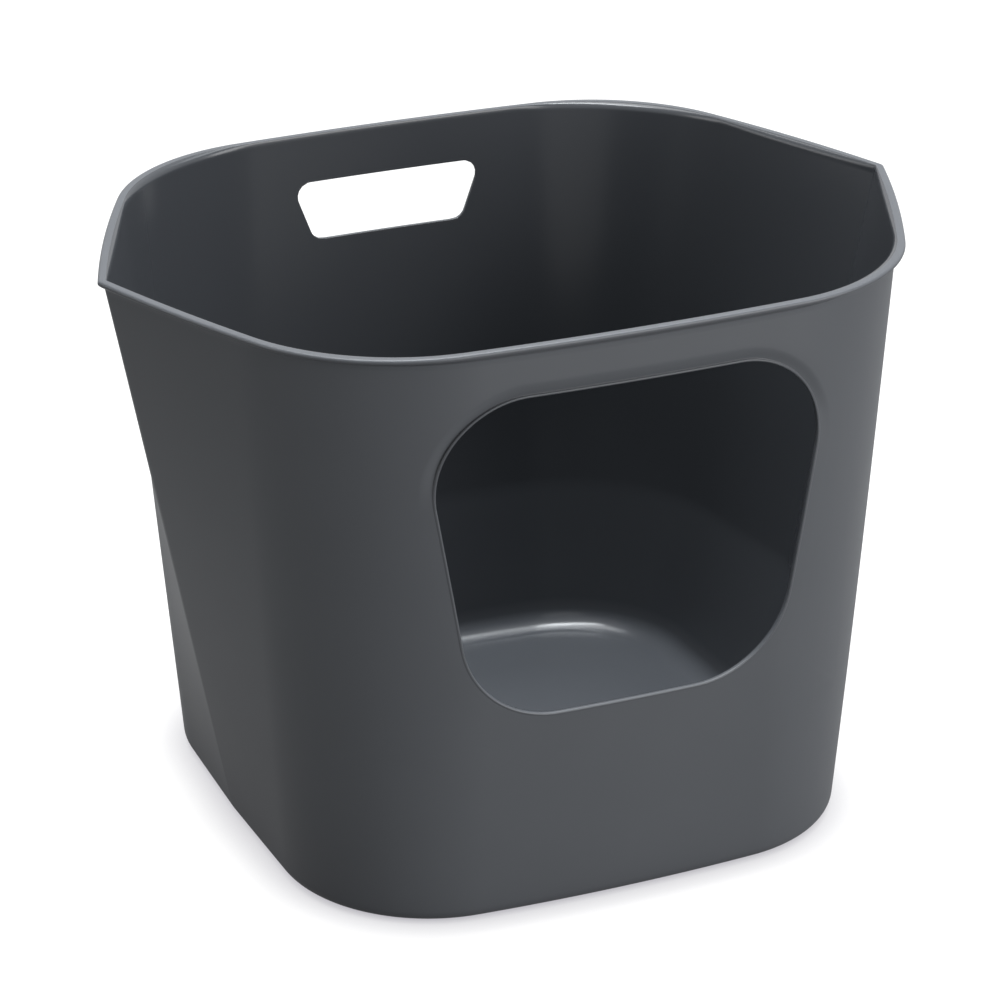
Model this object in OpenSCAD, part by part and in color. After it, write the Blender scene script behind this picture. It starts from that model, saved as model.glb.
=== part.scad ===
// Open-topped litter tub with a front entry, a hand hold in the back wall and four rubber feet.
// Millimetres. +Z is up, the front is -Y, and the origin is on the ground under the middle.

/* [Tub] */
// Height of the tub, from its underside to the top of its rim
tub_h = 372; // [340:1:400]
// Width of the walls at the base, side to side
base_w = 367; // [330:0.5:390]
// Depth of the walls at the base, front to back
base_d = 367.5; // [345:0.5:376]
// Corner radius of the walls at the base
base_corner_r = 97; // [70:0.5:120]
// Radius of the front and back walls' bow at the base
base_bow_r = 1250; // [900:10:4000]
// Width of the walls at the top, from ridge to ridge
top_w = 512; // [480:1:550]
// Depth of the walls at the top, front to back
top_d = 389; // [380:1:410]
// Corner radius of the walls at the top
top_corner_r = 137; // [100:1:145]
// Radius of the front and back walls' bow at the top
top_bow_r = 1790; // [1200:10:4000]
// Thickness of the walls, measured level
wall = 2.3; // [2:0.1:3]
// Thickness of the floor
floor_t = 3; // [2.5:0.1:5]
// Rounding between the underside and the walls
base_edge_r = 8; // [6:0.5:16]
// How far the front wall swells out halfway up
front_swell = 3.4; // [0:0.1:8]

/* [Side ridges] */
// Slant of the side walls away from the ridge, at the top
ridge_angle_top = 22.8; // [14:0.2:28]
// Slant of the side walls away from the ridge, at the base
ridge_angle_base = 1; // [1:0.1:6]
// How far the ridge runs forward of the middle by the top
ridge_forward = 3.9; // [0:0.1:14]
// Rounding of the ridge at the top
ridge_r_top = 5; // [4:0.5:16]
// Rounding of the ridge at the base
ridge_r_base = 24; // [16:1:60]

/* [Rim] */
// How far the rim stands out from the walls at the ridges, front and back
rim_out = 3; // [2:0.1:4.5]
// Width of the rim's top, from its inner edge to its outer face
rim_top_w = 5.1; // [4:0.1:7]
// Height of the rim's outer face
rim_h = 4.2; // [3.5:0.1:8]
// Height of the slope under the rim
rim_slope_h = 2.4; // [1:0.1:5]
// Height of the rounding inside the rim
rim_inner_h = 4.6; // [2:0.1:6]
// Rounding of the rim's outer edge
rim_edge_r = 1.7; // [0.8:0.1:1.9]
// How much tighter the rim's corners are than the walls' corners
rim_corner_step = 16.7; // [0:0.1:24]
// Radius of the bow in the rim's sides
rim_side_bow_r = 1030; // [800:10:4000]
// How much less than the walls the rim slants right beside the ridges
rim_angle_step = 4; // [0:0.1:8]

/* [Entry] */
// Distance from the top of the rim down to the entry
entry_drop = 33.1; // [26:0.1:60]
// Height of the entry
entry_h = 203.4; // [170:0.2:220]
// Width of the entry at its top
entry_top_w = 261.6; // [230:0.2:272]
// Width of the entry at its bottom
entry_bottom_w = 193.4; // [160:0.2:216]
// Radius of the entry's top corners
entry_top_r = 54; // [30:0.5:62]
// Radius of the entry's bottom corners
entry_bottom_r = 60.5; // [30:0.5:66]
// Diameter of the rolled bead round the entry
bead_d = 3.2; // [3:0.1:6]

/* [Hand hold] */
// Distance from the top of the rim down to the hand hold
grip_drop = 32.4; // [24:0.1:60]
// Height of the hand hold
grip_h = 39.3; // [30:0.1:50]
// Width of the hand hold at its top
grip_top_w = 132.6; // [110:0.2:150]
// Width of the hand hold at its bottom
grip_bottom_w = 103.4; // [90:0.2:120]
// Corner radius of the hand hold
grip_r = 9; // [5:0.5:12]

/* [Floor panel] */
// Width of the raised panel in the floor
panel_w = 254; // [200:1:270]
// Depth of the raised panel in the floor
panel_d = 230; // [200:1:270]
// Corner radius of the raised panel
panel_corner_r = 48; // [30:1:70]
// How far the panel is raised
panel_rise = 0.8; // [0.4:0.1:1.2]
// Width of the slope round the panel
panel_slope_w = 2.4; // [1:0.1:4]

/* [Feet] */
// Diameter of a foot
foot_d = 18; // [12:0.5:24]
// Thickness of a foot
foot_t = 2.5; // [2:0.1:3]
// How far a foot stands out of the underside
foot_proud = 1; // [0.6:0.1:1.6]
// Chamfer round the bottom of a foot
foot_chamfer = 0.4; // [0.2:0.1:0.6]
// Clearance round a foot in its socket
foot_clearance = 0.2; // [0.1:0.05:0.4]
// Distance from the base's corner curve in to the middle of a foot
foot_inset = 28; // [24:0.5:34]

/* [Hidden] */

charcoal = [0.27, 0.285, 0.30];
rubber_black = [0.09, 0.09, 0.10];

round_fn = 64;          // facets of the feet and their sockets
straight_r = 20000;     // bow radius of a wall that is as good as straight
panel_slant = 1.5;      // slant of the floor panel's sides away from their middle
ridge_steps = 3;        // steps round each half of a ridge
side_steps = 3;         // steps along each half of a side
corner_steps = 10;      // steps round each corner
bow_steps = 4;          // steps along each half of the front and of the back
wall_steps = 9;         // levels up the walls
edge_steps = 4;         // steps round the base's edge and round the floor's edge
rim_steps = 3;          // steps round the rim's edges
entry_corner_steps = 12;
entry_side_steps = 5;
bead_sides = 10;
cut_reach = 20;         // how far a cutter passes the wall
ridge_r_least = 1;      // least rounding of a ridge, inside the walls

floor_edge_r = base_edge_r - wall;
socket_d = foot_d + 2 * foot_clearance;
socket_depth = foot_t - foot_proud;
foot_spread = base_corner_r - foot_inset;
foot_x = base_w / 2 - base_corner_r + foot_spread * cos(45);
foot_y = base_d / 2 - base_corner_r + foot_spread * sin(45);
entry_top_z = tub_h - entry_drop;
entry_bottom_z = entry_top_z - entry_h;
grip_top_z = tub_h - grip_drop;
grip_bottom_z = grip_top_z - grip_h;

// ---- plain geometry ----

function mix(low, high, t) = low + (high - low) * t;
function unit(v) = v / norm(v);
function flatten(lists) = [for (list = lists) each list];
function skip_first(list) = [for (i = [1 : len(list) - 1]) list[i]];

// Points of an arc, both ends included
function arc(centre, r, from, to, steps) =
    [for (i = [0 : steps]) let (a = mix(from, to, i / steps)) centre + r * [cos(a), sin(a)]];

// Arc that rounds the corner at point b of a counter-clockwise outline a, b, c
function round_corner(a, b, c, r, steps) =
    let (
        u = unit(a - b),
        v = unit(c - b),
        half = acos(u * v) / 2,
        centre = b + unit(u + v) * r / sin(half),
        first = b + u * r / tan(half) - centre,
        from = atan2(first.y, first.x)
    )
    arc(centre, r, from, from + 180 - 2 * half, steps);

// Outline of a trapezoid with round corners, its straight edges split into steps of their own
function round_trapezoid(top_w, bottom_w, top_z, bottom_z, top_r, bottom_r, steps, side_steps) =
    let (
        corners = [
            [bottom_w / 2, bottom_z],
            [top_w / 2, top_z],
            [-top_w / 2, top_z],
            [-bottom_w / 2, bottom_z]
        ],
        radii = [bottom_r, top_r, top_r, bottom_r],
        arcs = [
            for (i = [0 : 3])
                round_corner(corners[(i + 3) % 4], corners[i], corners[(i + 1) % 4], radii[i], steps)
        ]
    )
    [
        for (i = [0 : 3])
            let (next = arcs[(i + 1) % 4][0])
                each concat(
                    arcs[i],
                    [for (k = [1 : side_steps - 1]) mix(arcs[i][steps], next, k / side_steps)]
                )
    ];

// Skin over rings that all have the same number of points, with a flat cap at each end
module loft(rings) {
    n = len(rings[0]);
    last = len(rings) - 1;
    sides = [
        for (i = [0 : last - 1], k = [0 : n - 1])
            let (a = i * n + k, b = i * n + (k + 1) % n)
                each [[a, a + n, b], [b, a + n, b + n]]
    ];
    caps = [
        [for (k = [0 : n - 1]) k],
        [for (k = [n - 1 : -1 : 0]) last * n + k]
    ];
    polyhedron(flatten(rings), concat(sides, caps), convexity = 6);
}

// ---- the tub's outline at any level ----

// An outline has a ridge in the middle of each side, bowed sides, round corners and a bowed front
// and back. It is held as [half width, half depth, corner radius, ridge rounding, slant beside the
// ridge, how far forward the ridge is, radius of the sides, radius of the front and back, how far
// the front swells out].
function wall_outline(z) =
    let (t = z / tub_h)
    [
        mix(base_w, top_w, t) / 2,
        mix(base_d, top_d, t) / 2,
        mix(base_corner_r, top_corner_r, t),
        mix(ridge_r_base, ridge_r_top, t),
        atan(mix(tan(ridge_angle_base), tan(ridge_angle_top), t)),
        ridge_forward * t,
        straight_r,
        1 / mix(1 / base_bow_r, 1 / top_bow_r, t),
        front_swell * 4 * t * (1 - t)
    ];

rim_outline = [
    top_w / 2 + rim_out,
    top_d / 2 + rim_out,
    top_corner_r - rim_corner_step,
    ridge_r_top,
    ridge_angle_top - rim_angle_step,
    ridge_forward,
    rim_side_bow_r,
    top_bow_r,
    0
];

panel_outline = [
    panel_w / 2,
    panel_d / 2,
    panel_corner_r,
    panel_corner_r,
    panel_slant,
    0,
    straight_r,
    straight_r,
    0
];

// The outline that the front half follows: its half depth includes the swell
function front_half(o) = [for (i = [0 : len(o) - 1]) i == 1 ? o[1] + o[8] : o[i]];

// Centre of the side's circle, for the quarter whose ridge is at depth ridge_y
function side_centre(o, ridge_y) = [o[0] - o[6] * cos(o[4]), ridge_y - o[6] * sin(o[4])];

// Centre of the front or back wall's circle
function bow_centre(o) = [0, o[1] - o[7]];

// Centre of the corner's circle, which touches the side's circle and the bow's circle
function corner_centre(o, ridge_y) =
    let (
        from = side_centre(o, ridge_y),
        apart = bow_centre(o) - from,
        u = unit(apart),
        r1 = o[6] - o[2],
        r2 = o[7] - o[2],
        along = (r1 * r1 - r2 * r2 + apart * apart) / (2 * norm(apart))
    )
    from + along * u + sqrt(max(0, r1 * r1 - along * along)) * [-u.y, u.x];

function angle_of(v) = atan2(v.y, v.x);

// A quarter of the outline, moved outwards by off, from the ridge to the middle of the back
function quarter(o, ridge_y, off) =
    let (
        side = side_centre(o, ridge_y),
        corner = corner_centre(o, ridge_y),
        bow = bow_centre(o),
        side_end = angle_of(corner - side),
        corner_end = angle_of(corner - bow),
        ridge_r = max(o[3] + off, ridge_r_least),
        to_ridge = o[6] + off - ridge_r,
        ridge_end = asin(o[6] * sin(o[4]) / to_ridge),
        ridge = [side.x + to_ridge * cos(ridge_end), ridge_y]
    )
    concat(
        arc(ridge, ridge_r, 0, ridge_end, ridge_steps),
        skip_first(arc(side, o[6] + off, ridge_end, side_end, side_steps)),
        skip_first(arc(corner, o[2] + off, side_end, corner_end, corner_steps)),
        skip_first(arc(bow, o[7] + off, corner_end, 90, bow_steps))
    );

// The whole outline at height z, moved outwards by off, counter-clockwise from the right ridge
function ring(o, z, off) =
    let (
        back = quarter(o, -o[5], off),
        front = quarter(front_half(o), o[5], off),
        n = len(back) - 1
    )
    concat(
        [for (i = [0 : n - 1]) [back[i].x, back[i].y, z]],
        [for (i = [n : -1 : 1]) [-back[i].x, back[i].y, z]],
        [for (i = [0 : n - 1]) [-front[i].x, -front[i].y, z]],
        [for (i = [n : -1 : 1]) [front[i].x, -front[i].y, z]]
    );

function wall_ring(z, off) = ring(wall_outline(z), z, off);
function rim_ring(z, off) = ring(rim_outline, z, off);
function panel_ring(z, off) = ring(panel_outline, z, off);

// Depth of the front wall's outer face at x and z: on the bow in the middle, round at the corners
function front_y(x, z) =
    let (
        o = front_half(wall_outline(z)),
        bow = bow_centre(o),
        corner = corner_centre(o, o[5]),
        bow_half = o[7] * cos(angle_of(corner - bow)),
        past = abs(x) - corner.x
    )
    abs(x) < bow_half
        ? -bow.y - sqrt(o[7] * o[7] - x * x)
        : -corner.y - sqrt(max(0, o[2] * o[2] - past * past));

// ---- the tub ----

// From the recess in the underside, out and up the walls, over the rim and down to the floor
module tub_shell() {
    rim_low = tub_h - rim_h;
    wall_high = rim_low - rim_slope_h;
    floor_low = floor_t + floor_edge_r;
    rim_inside = rim_ring(tub_h, -rim_top_w);
    wall_inside = wall_ring(tub_h - rim_inner_h, -wall);
    loft(concat(
        [
            panel_ring(panel_rise, 0),
            panel_ring(0, panel_slope_w),
            wall_ring(0, -base_edge_r)
        ],
        [
            for (i = [1 : edge_steps])
                let (a = 90 * i / edge_steps)
                    wall_ring(base_edge_r * (1 - cos(a)), base_edge_r * (sin(a) - 1))
        ],
        [for (i = [1 : wall_steps]) wall_ring(mix(base_edge_r, wall_high, i / wall_steps), 0)],
        [rim_ring(rim_low, 0)],
        [
            for (i = [0 : rim_steps])
                let (a = 90 * i / rim_steps)
                    rim_ring(tub_h - rim_edge_r * (1 - sin(a)), -rim_edge_r * (1 - cos(a)))
        ],
        [
            for (i = [0 : rim_steps])
                let (a = 90 * i / rim_steps)
                    [
                        for (k = [0 : len(rim_inside) - 1])
                            let (p = mix(rim_inside[k], wall_inside[k], sin(a)))
                                [p.x, p.y, tub_h - rim_inner_h * (1 - cos(a))]
                    ]
        ],
        [
            for (i = [wall_steps - 1 : -1 : 0])
                wall_ring(mix(floor_low, tub_h - rim_inner_h, i / wall_steps), -wall)
        ],
        [
            for (i = [edge_steps - 1 : -1 : 0])
                let (a = 90 * i / edge_steps)
                    wall_ring(
                        floor_t + floor_edge_r * (1 - cos(a)),
                        floor_edge_r * (sin(a) - 1) - wall
                    )
        ],
        [
            panel_ring(floor_t, panel_slope_w),
            panel_ring(floor_t + panel_rise, 0)
        ]
    ));
}

// Closed path, moved outwards by off
function grown(path, off) =
    let (n = len(path))
    [
        for (i = [0 : n - 1])
            let (along = unit(path[(i + 1) % n] - path[(i + n - 1) % n]))
                path[i] + off * [along.y, -along.x]
    ];

// Middle line of the bead, which leaves the entry's own width and height clear
function bead_path() = grown(
    round_trapezoid(
        entry_top_w, entry_bottom_w, entry_top_z, entry_bottom_z,
        entry_top_r, entry_bottom_r, entry_corner_steps, entry_side_steps
    ),
    bead_d / 2
);

module entry_cut() {
    rotate([90, 0, 0])
        linear_extrude(top_d / 2 + cut_reach)
            polygon(bead_path());
}

module grip_cut() {
    outline = round_trapezoid(
        grip_top_w, grip_bottom_w, grip_top_z, grip_bottom_z, grip_r, grip_r, entry_corner_steps, 1
    );
    translate([0, top_d / 2 + cut_reach, 0])
        rotate([90, 0, 0])
            linear_extrude(top_d / 2)
                polygon(outline);
}

// Round bead along the entry's edge, in the middle of the wall's thickness
module entry_bead() {
    path = bead_path();
    n = len(path);
    rings = [
        for (i = [0 : n - 1])
            let (
                along = unit(path[(i + 1) % n] - path[(i + n - 1) % n]),
                out = [along.y, 0, -along.x],
                middle = [path[i].x, front_y(path[i].x, path[i].y) + wall / 2, path[i].y]
            )
                [
                    for (k = [0 : bead_sides - 1])
                        let (a = 360 * k / bead_sides)
                            middle + bead_d / 2 * (cos(a) * out + sin(a) * [0, 1, 0])
                ]
    ];
    skin = [
        for (i = [0 : n - 1], k = [0 : bead_sides - 1])
            let (
                next = (k + 1) % bead_sides,
                a = i * bead_sides,
                b = (i + 1) % n * bead_sides
            )
                each [[a + k, b + k, a + next], [a + next, b + k, b + next]]
    ];
    polyhedron(flatten(rings), skin, convexity = 6);
}

module tub() {
    color(charcoal)
        translate([0, 0, foot_proud])
            difference() {
                union() {
                    difference() {
                        tub_shell();
                        entry_cut();
                        grip_cut();
                    }
                    entry_bead();
                }
                for (x = [-foot_x, foot_x], y = [-foot_y, foot_y])
                    translate([x, y, -socket_depth])
                        cylinder(h = 2 * socket_depth, d = socket_d, $fn = round_fn);
            }
}

// ---- the feet ----

// Rubber disc, chamfered where it meets the ground
module foot(x, y) {
    color(rubber_black)
        translate([x, y, 0])
            rotate_extrude($fn = round_fn)
                polygon([
                    [0, 0],
                    [foot_d / 2 - foot_chamfer, 0],
                    [foot_d / 2, foot_chamfer],
                    [foot_d / 2, foot_t],
                    [0, foot_t]
                ]);
}

module foot_front_left() {
    foot(-foot_x, -foot_y);
}

module foot_front_right() {
    foot(foot_x, -foot_y);
}

module foot_back_left() {
    foot(-foot_x, foot_y);
}

module foot_back_right() {
    foot(foot_x, foot_y);
}

tub();
foot_front_left();
foot_front_right();
foot_back_left();
foot_back_right();
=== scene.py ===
"""Looks of an open-topped litter tub with a front entry, a hand hold and four rubber feet.

Lengths are metres. +Z is up, the front is -Y and the ground is z = 0. The tub is one closed skin:
rings that follow the tub's outline, lofted from the underside up the walls, over the rim and down
to the floor, with two patches that carry the entry and the hand hold through the wall.
"""

from __future__ import annotations

import logging
import math
from dataclasses import dataclass
from enum import Enum

import bpy
import numpy as np
from mathutils import Matrix, Vector


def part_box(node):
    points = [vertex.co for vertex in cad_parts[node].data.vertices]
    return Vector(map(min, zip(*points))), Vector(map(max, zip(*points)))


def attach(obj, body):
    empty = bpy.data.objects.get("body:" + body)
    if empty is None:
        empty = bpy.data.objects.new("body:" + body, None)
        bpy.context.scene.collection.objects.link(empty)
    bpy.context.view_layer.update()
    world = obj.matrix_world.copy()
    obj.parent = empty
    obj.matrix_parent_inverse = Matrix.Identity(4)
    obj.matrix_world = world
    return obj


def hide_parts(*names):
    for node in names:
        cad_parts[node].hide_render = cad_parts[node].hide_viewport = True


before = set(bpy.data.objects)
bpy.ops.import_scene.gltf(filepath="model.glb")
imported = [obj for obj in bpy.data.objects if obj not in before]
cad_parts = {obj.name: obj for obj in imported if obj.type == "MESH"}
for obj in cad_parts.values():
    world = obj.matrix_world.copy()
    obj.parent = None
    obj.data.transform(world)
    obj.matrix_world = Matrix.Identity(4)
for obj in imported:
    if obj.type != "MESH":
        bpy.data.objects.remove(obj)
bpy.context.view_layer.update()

Array = np.ndarray
MM = 0.001
IMAGE_SIDE = 1000
SENSOR_MM = 36.0
BODY = "root"
WHITE = (1.0, 1.0, 1.0, 1.0)

log = logging.getLogger("litter_tub")


# ---- plain geometry ----


def mix(low: Array | float, high: Array | float, t: Array | float) -> Array | float:
    """Value a share t of the way from low to high."""
    return low + (high - low) * t


def smooth(edge_low: float, edge_high: float, value: Array) -> Array:
    """Eases from 0 below edge_low to 1 above edge_high: 3 t squared - 2 t cubed."""
    t = np.clip((value - edge_low) / (edge_high - edge_low), 0.0, 1.0)
    return t * t * (3.0 - 2.0 * t)


def column(values: Array | list[float] | float) -> Array:
    """Values as a column, one row for each level of a loft."""
    return np.atleast_1d(np.asarray(values, float)).reshape(-1, 1)


def fan(start: Array | float, end: Array, steps: int) -> Array:
    """Angles from start to end in even steps, one row for each level."""
    return mix(start, end, np.linspace(0.0, 1.0, steps + 1)[None, :])


class End(Enum):
    """The two end walls. The value is the sign of their depth."""

    FRONT = -1
    BACK = 1


# ---- the tub's outline ----


@dataclass(frozen=True)
class Outline:
    """Level outline of the tub: a ridge in the middle of each side, round corners, bowed ends.

    Each field is a column with one value for each level. The sides, the corners and the ends are
    arcs of circles that touch each other, and the ridge is rounded by a small circle that touches
    both halves of its side. The front half lies further out than the back half by its swell.
    """

    half_w: Array
    half_d: Array
    corner_r: Array
    ridge_r: Array
    slant: Array
    forward: Array
    side_r: Array
    bow_r: Array
    front_swell: Array

    RIDGE_STEPS = 8
    SIDE_STEPS = 14
    CORNER_STEPS = 20
    RIDGE_R_LEAST = 0.5 * MM

    def circles(self, end: End) -> tuple[Array, Array, Array, Array, Array]:
        """Centres of the circles of one quarter, measured towards its own end.

        The corner's centre lies side_r - corner_r from the side's centre and bow_r - corner_r
        from the end's centre.

        Args:
            end: The end wall of the quarter.

        Returns:
            x and y of the side's centre, y of the end's centre, x and y of the corner's centre.
        """
        side_x = self.half_w - self.side_r * np.cos(self.slant)
        side_y = -end.value * self.forward - self.side_r * np.sin(self.slant)
        bow_y = self.half_d - self.bow_r
        if end is End.FRONT:
            bow_y = bow_y + self.front_swell
        apart = np.hypot(side_x, bow_y - side_y)
        ux, uy = -side_x / apart, (bow_y - side_y) / apart
        r1, r2 = self.side_r - self.corner_r, self.bow_r - self.corner_r
        along = (r1 * r1 - r2 * r2 + apart * apart) / (2.0 * apart)
        across = np.sqrt(np.maximum(r1 * r1 - along * along, 0.0))
        return side_x, side_y, bow_y, side_x + along * ux - across * uy, side_y + along * uy + across * ux

    def depth(self, x: Array, grow: Array | float, end: End) -> Array:
        """Depth of an end wall at x, measured towards that end: on the bow, or on the corner past it.

        Args:
            x: Places across the tub.
            grow: How far the outline is moved outwards.
            end: The end wall.

        Returns:
            The wall's distance from the middle of the tub.
        """
        _, _, bow_y, corner_x, corner_y = self.circles(end)
        bow_r, corner_r = self.bow_r + grow, self.corner_r + grow
        bow_half = bow_r * np.cos(np.arctan2(corner_y - bow_y, corner_x))
        on_bow = bow_y + np.sqrt(np.maximum(bow_r * bow_r - x * x, 0.0))
        past = np.abs(x) - corner_x
        on_corner = corner_y + np.sqrt(np.maximum(corner_r * corner_r - past * past, 0.0))
        return np.where(np.abs(x) < bow_half, on_bow, on_corner)

    def quarter(self, grow: Array, end: End, columns: Array) -> tuple[Array, Array]:
        """A quarter of the outline, from the right ridge to the middle of an end wall.

        Angles run in even steps round the ridge, along the side and round the corner as far as
        the first column. From there the points stand on the columns, at fixed places across.

        Args:
            grow: How far the outline is moved outwards, one value for each level.
            end: The end wall of the quarter.
            columns: Places across the tub, from the outermost to the middle, for each level.

        Returns:
            x and y of the points, measured towards that end.
        """
        side_x, side_y, _, corner_x, corner_y = self.circles(end)
        ridge_y = -end.value * self.forward
        side_end = np.arctan2(corner_y - side_y, corner_x - side_x)
        ridge_r = np.maximum(self.ridge_r + grow, self.RIDGE_R_LEAST)
        reach = self.side_r + grow - ridge_r
        rise = self.side_r * np.sin(self.slant)
        ridge_x = side_x + np.sqrt(reach * reach - rise * rise)
        corner_r = self.corner_r + grow
        column_end = np.arccos((columns[:, :1] - corner_x) / corner_r)
        ridge = fan(0.0, np.arcsin(rise / reach), self.RIDGE_STEPS)
        side = fan(ridge[:, -1:], side_end, self.SIDE_STEPS)[:, 1:]
        corner = fan(side_end, column_end, self.CORNER_STEPS)[:, 1:-1]
        side_r = self.side_r + grow
        x = [
            ridge_x + ridge_r * np.cos(ridge),
            side_x + side_r * np.cos(side),
            corner_x + corner_r * np.cos(corner),
            columns,
        ]
        y = [
            ridge_y + ridge_r * np.sin(ridge),
            side_y + side_r * np.sin(side),
            corner_y + corner_r * np.sin(corner),
            self.depth(columns, grow, end),
        ]
        return np.hstack(x), np.hstack(y)

    def rings(self, z: Array, grow: Array, columns: Array) -> Array:
        """Whole outlines at their heights, counter-clockwise from the right ridge.

        Args:
            z: Height of each level.
            grow: How far each level's outline is moved outwards.
            columns: Places across the tub where the end walls' points stand, for each level.

        Returns:
            Points of shape (levels, points round the outline, 3).
        """
        back_x, back_y = self.quarter(grow, End.BACK, columns)
        front_x, front_y = self.quarter(grow, End.FRONT, columns)
        x = np.hstack([back_x[:, :-1], -back_x[:, :0:-1], -front_x[:, :-1], front_x[:, :0:-1]])
        y = np.hstack([back_y[:, :-1], back_y[:, :0:-1], -front_y[:, :-1], -front_y[:, :0:-1]])
        return np.stack([x, y, np.broadcast_to(column(z), x.shape)], axis=-1)


# ---- meshes ----


@dataclass
class Skin:
    """Points and faces that make up one mesh, with how far inside the tub each point is."""

    points: Array
    quads: Array
    triangles: Array
    inside: Array

    def to_object(self, name: str) -> bpy.types.Object:
        """Puts the skin into a new smooth mesh object.

        Args:
            name: Name of the piece.

        Returns:
            The new object, at the origin.
        """
        faces = [self.quads, self.triangles]
        used, remapped = np.unique(np.concatenate([f.ravel() for f in faces]), return_inverse=True)
        totals = np.concatenate([np.full(len(f), f.shape[1]) for f in faces])
        starts = np.concatenate([[0], np.cumsum(totals)[:-1]])
        mesh = bpy.data.meshes.new(name)
        mesh.vertices.add(len(used))
        mesh.vertices.foreach_set("co", self.points[used].astype(np.float32).ravel())
        mesh.loops.add(len(remapped))
        mesh.loops.foreach_set("vertex_index", remapped.astype(np.int32))
        mesh.polygons.add(len(totals))
        mesh.polygons.foreach_set("loop_start", starts.astype(np.int32))
        mesh.polygons.foreach_set("use_smooth", np.ones(len(totals), bool))
        mesh.update(calc_edges=True)
        mesh.validate()
        layer = mesh.attributes.new("inside", "FLOAT", "POINT")
        layer.data.foreach_set("value", self.inside[used].astype(np.float32))
        piece = bpy.data.objects.new(name, mesh)
        bpy.context.scene.collection.objects.link(piece)
        return piece


def loop_quads(outer: Array, inner: Array) -> Array:
    """Quads between two closed loops of point numbers, wound from outer to inner."""
    return np.stack([outer, np.roll(outer, -1), np.roll(inner, -1), inner], axis=-1)


# ---- openings ----


@dataclass(frozen=True)
class EdgeProfile:
    """Section through the edge of an opening, square to the edge.

    A section point is (how far out from the edge, how far out from the wall's outer face). The
    edge is a turned-in lip: an outer nose, a flat land that faces the opening, and an inner nose.
    Round the upper part of the opening the wall dips in towards the lip, which leaves a groove,
    and the lip gets finer.
    """

    nose_r: float
    nose_r_upper: float
    proud: float
    proud_upper: float
    inner_r: float
    inner_proud: float
    groove: float
    dip_w: float
    dip_from: float
    dip_to: float

    ARC_STEPS = 10
    LAND_STEPS = 3
    DIP_STEPS = 10
    JOIN_W = 0.2 * MM
    SINE_MOST = 0.95

    def section(self, wall: float, out_z: Array) -> tuple[Array, Array, Array]:
        """Rows of section points from the outer wall, round the lip, to the inner wall.

        Each nose is an arc of a circle that touches the opening. The dip eases in and out.

        Args:
            wall: Thickness of the wall.
            out_z: How far upwards the direction out of the opening points, from -1 to 1.

        Returns:
            Distance out from the edge, distance out from the outer face, and the share that is
            inside, each of shape (section points, points round the opening).
        """
        upper = smooth(self.dip_from, self.dip_to, out_z)[None, :]
        nose_r = mix(self.nose_r, self.nose_r_upper, upper)
        nose_h = mix(self.proud, self.proud_upper, upper) - nose_r
        outer_low = -self.groove * upper
        inner_low = -wall - self.groove * upper / 2
        inner_h = -wall - self.inner_proud + self.inner_r
        start_sine, stop_sine = (outer_low - nose_h) / nose_r, (inner_low - inner_h) / self.inner_r
        start = np.arcsin(np.clip(start_sine, -self.SINE_MOST, self.SINE_MOST))
        stop = 2 * np.pi + np.arcsin(np.clip(stop_sine, -self.SINE_MOST, self.SINE_MOST))
        turn = np.linspace(0.0, 1.0, self.ARC_STEPS + 1)[:, None]
        nose = mix(start, np.pi, turn)
        inner = mix(np.pi, stop, turn)
        share = np.linspace(0.0, 1.0, self.LAND_STEPS + 1)[1:-1, None]
        nose_d, nose_z = nose_r * (1 + np.cos(nose)), nose_h + nose_r * np.sin(nose)
        inner_d, inner_z = self.inner_r * (1 + np.cos(inner)), inner_h + self.inner_r * np.sin(inner)
        land_d, land_z = 0 * share * upper, mix(nose_z[-1:], inner_z[:1], share)
        out = np.linspace(1.0, 0.0, self.DIP_STEPS + 1)[:, None]
        sink = 1.0 - smooth(0.0, 1.0, out)
        dip_d = nose_d[:1] + self.JOIN_W + self.dip_w * out
        back_d = inner_d[-1:] + self.JOIN_W + self.dip_w * out[::-1]
        back_z = -wall + (inner_low + wall) * sink[::-1]
        d = np.vstack([dip_d, nose_d, land_d, inner_d, back_d])
        h = np.vstack([outer_low * sink, nose_z, land_z, inner_z, back_z])
        within = np.vstack([0 * dip_d, 0 * nose_d, 0.5 + land_d, 1 + 0 * inner_d, 1 + 0 * back_d])
        return d, h, within


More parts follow.
